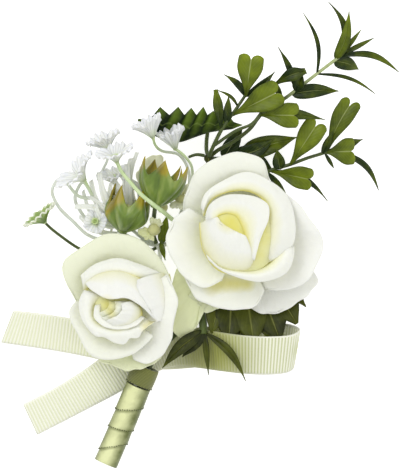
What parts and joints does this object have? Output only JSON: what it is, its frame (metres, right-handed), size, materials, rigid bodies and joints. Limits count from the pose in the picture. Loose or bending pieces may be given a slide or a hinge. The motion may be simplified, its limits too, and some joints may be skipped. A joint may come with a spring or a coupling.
{
  "type": "boutonniere",
  "caption": "Lapel flower with ivory roses, small white florets, green buds and leafy sprays, gathered by a ribbon bow on a short wrapped stem handle.",
  "frame": {"origin": "middle of the bounding box in plan, on the surface the boutonniere lies on", "axes": "+Z away from the surface, out of the roses' faces; +Y from the handle towards the tips of the sprays; +X to the right of the roses"},
  "size_m": [0.0996, 0.1165, 0.0276],
  "materials": {
    "petal_ivory": "soft foam petal",
    "petal_cream": "soft foam petal, cream",
    "leaf_dark": "moulded, satin",
    "leaf_bright": "moulded, satin",
    "cup_green": "moulded, satin",
    "stem_pale": "moulded, satin",
    "floret_white": "thin and translucent",
    "ribbon_cloth": "ribbed",
    "wrap_cloth": "ribbed"
  },
  "bodies": {
    "root": {"rose_large_bloom": "petal_ivory", "rose_large_calyx": "leaf_dark", "rose_small_bloom": "petal_ivory", "rose_small_calyx": "leaf_dark", "greenery_stem": "leaf_dark", "spray_long": "leaf_bright", "spray_middle": "leaf_bright", "spray_low": "leaf_bright", "broad_leaves": "leaf_dark", "toothed_leaf": "leaf_dark", "neck_sepals": "leaf_dark", "floret_stems": "stem_pale", "floret_1": "floret_white", "floret_2": "floret_white", "floret_3": "floret_white", "floret_4": "floret_white", "floret_5": "floret_white", "floret_6": "floret_white", "floret_7": "floret_white", "floret_8": "floret_white", "bud_cup_left": "cup_green", "bud_cup_right": "cup_green", "bud_petals_right": "petal_cream", "side_bloom": "petal_cream", "low_bud_sepals": "cup_green", "low_bud_petals": "petal_cream", "ribbon": "ribbon_cloth", "neck_tie": "ribbon_cloth", "stem_wrap": "wrap_cloth"}
  },
  "joints": []
}
